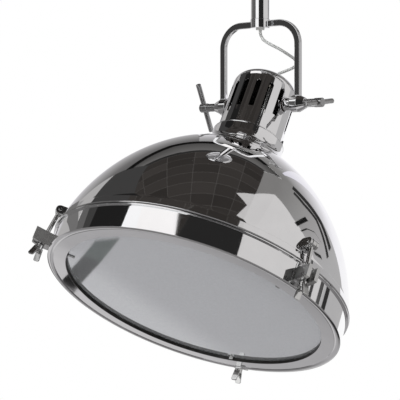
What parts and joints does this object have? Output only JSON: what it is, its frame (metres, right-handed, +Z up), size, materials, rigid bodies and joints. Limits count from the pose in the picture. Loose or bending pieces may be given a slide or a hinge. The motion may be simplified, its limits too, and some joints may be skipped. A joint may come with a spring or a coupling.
{
  "type": "pendant spotlight",
  "caption": "Polished metal pendant spotlight: a large domed shade with a glass front, tilting in a forked yoke on a ceiling stem, with T-handle clamps and wing-nut front ring.",
  "frame": {"origin": "middle of the ceiling plate's top face, on the stem's axis", "axes": "+Z up along the stem, +X along the tilt axis towards the right handle, -Y the way the glass faces"},
  "size_m": [0.4498, 0.4223, 0.7357],
  "materials": {
    "chrome": "polished",
    "satin_steel": "satin",
    "zinc_steel": "zinc plated",
    "frosted_glass": "frosted",
    "black_rubber": "matt",
    "fibre": "matt",
    "cable_plastic": "clear jacket",
    "nickel": "nickel plated",
    "porcelain": "glazed",
    "white_plastic": "matt",
    "brass": "bright",
    "opal_glass": "opal"
  },
  "bodies": {
    "hanger": {"ceiling_plate": "zinc_steel", "canopy": "chrome", "canopy_ring": "chrome", "ring_grub_screw": "zinc_steel", "stem_tube": "chrome", "stem_screws": "zinc_steel", "stem_cable": "cable_plastic", "yoke_hub": "chrome", "yoke_arm_left": "chrome", "yoke_arm_right": "chrome", "arm_screws": "zinc_steel", "cable_bush": "white_plastic", "supply_cable": "cable_plastic"},
    "lamp_head": {"cap": "chrome", "cap_screws": "zinc_steel", "neck": "chrome", "dome": "chrome", "rim_moulding": "chrome", "rim_gasket": "black_rubber", "bezel": "chrome", "glass": "frosted_glass", "glass_gasket": "black_rubber", "glass_clips": "satin_steel", "pivot_boss_left": "chrome", "pivot_boss_right": "chrome", "pivot_washers": "fibre", "cable_gland": "nickel", "gland_nut": "nickel", "inner_lead": "cable_plastic", "terminal_block": "white_plastic", "holder_plate": "zinc_steel", "lamp_holder": "porcelain", "bulb_cap": "brass", "bulb_glass": "opal_glass", "clevis_left": "satin_steel", "clevis_right": "satin_steel", "clevis_rear": "satin_steel", "clevis_pins": "satin_steel", "lug_left": "satin_steel", "lug_right": "satin_steel", "lug_rear": "satin_steel"},
    "left_handle": {"clamp_screw_left": "satin_steel", "clamp_bar_left": "satin_steel"},
    "right_handle": {"clamp_screw_right": "satin_steel", "clamp_bar_right": "satin_steel"},
    "left_bolt": {"eye_bolt_left": "satin_steel"},
    "left_nut": {"wing_nut_left": "satin_steel"},
    "right_bolt": {"eye_bolt_right": "satin_steel"},
    "right_nut": {"wing_nut_right": "satin_steel"},
    "rear_bolt": {"eye_bolt_rear": "satin_steel"},
    "rear_nut": {"wing_nut_rear": "satin_steel"}
  },
  "joints": [
    {"name": "lamp_tilt", "type": "hinge", "parent": "hanger", "child": "lamp_head", "pos_m": [0, 0, -0.3083], "axis": [1, 0, 0], "range_deg": [-48.2, 111.8], "deforming": ["supply_cable"]},
    {"name": "left_handle_turn", "type": "hinge", "parent": "lamp_head", "child": "left_handle", "pos_m": [-0.1, 0, -0.3083], "axis": [-1, 0, 0], "continuous": true},
    {"name": "right_handle_turn", "type": "hinge", "parent": "lamp_head", "child": "right_handle", "pos_m": [0.1, 0, -0.3083], "axis": [1, 0, 0], "continuous": true},
    {"name": "left_bolt_swing", "type": "hinge", "parent": "lamp_head", "child": "left_bolt", "pos_m": [-0.16417, -0.27097, -0.46775], "axis": [-0.6652, 0.6346, -0.3934], "range_deg": [0, 100]},
    {"name": "left_nut_turn", "type": "hinge", "parent": "left_bolt", "child": "left_nut", "pos_m": [-0.16417, -0.27097, -0.46775], "axis": [-0.0975, -0.5962, -0.7969], "continuous": true},
    {"name": "right_bolt_swing", "type": "hinge", "parent": "lamp_head", "child": "right_bolt", "pos_m": [0.20876, -0.20533, -0.50844], "axis": [-0.314, -0.8069, 0.5003], "range_deg": [0, 100]},
    {"name": "right_nut_turn", "type": "hinge", "parent": "right_bolt", "child": "right_nut", "pos_m": [0.20876, -0.20533, -0.50844], "axis": [0.1239, -0.5573, -0.821], "continuous": true},
    {"name": "rear_bolt_swing", "type": "hinge", "parent": "lamp_head", "child": "rear_bolt", "pos_m": [-0.04459, 0.03634, -0.65828], "axis": [0.9792, 0.1723, -0.1069], "range_deg": [0, 100]},
    {"name": "rear_nut_turn", "type": "hinge", "parent": "rear_bolt", "child": "rear_nut", "pos_m": [-0.04459, 0.03634, -0.65828], "axis": [-0.0265, -0.4138, -0.91], "continuous": true}
  ]
}
